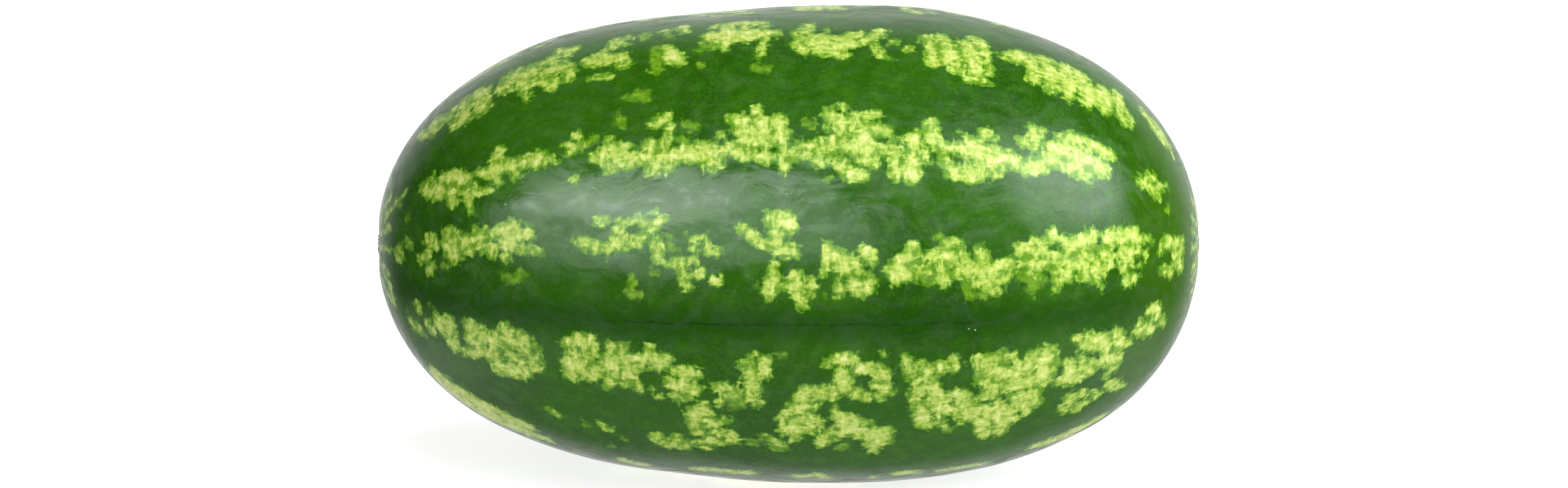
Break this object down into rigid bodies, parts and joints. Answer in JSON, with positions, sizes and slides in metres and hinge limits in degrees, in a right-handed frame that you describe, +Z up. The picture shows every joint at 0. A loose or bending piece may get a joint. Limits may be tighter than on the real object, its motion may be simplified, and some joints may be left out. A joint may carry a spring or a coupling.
{
  "type": "watermelon",
  "caption": "Whole oblong watermelon lying on its side: a smooth fruit with a small flat spot to rest on and shallow scars at both ends.",
  "frame": {"origin": "under the middle of the fruit's box, on the flat spot it rests on", "axes": "+X along the fruit's length, from the stem end to the blossom end; +Z up; the side that faces a viewer is -Y"},
  "size_m": [0.4, 0.2321, 0.2301],
  "materials": {
    "rind": "waxy satin rind, dark green with broken pale yellow-green stripes"
  },
  "bodies": {
    "root": {"watermelon": "rind"}
  },
  "joints": []
}
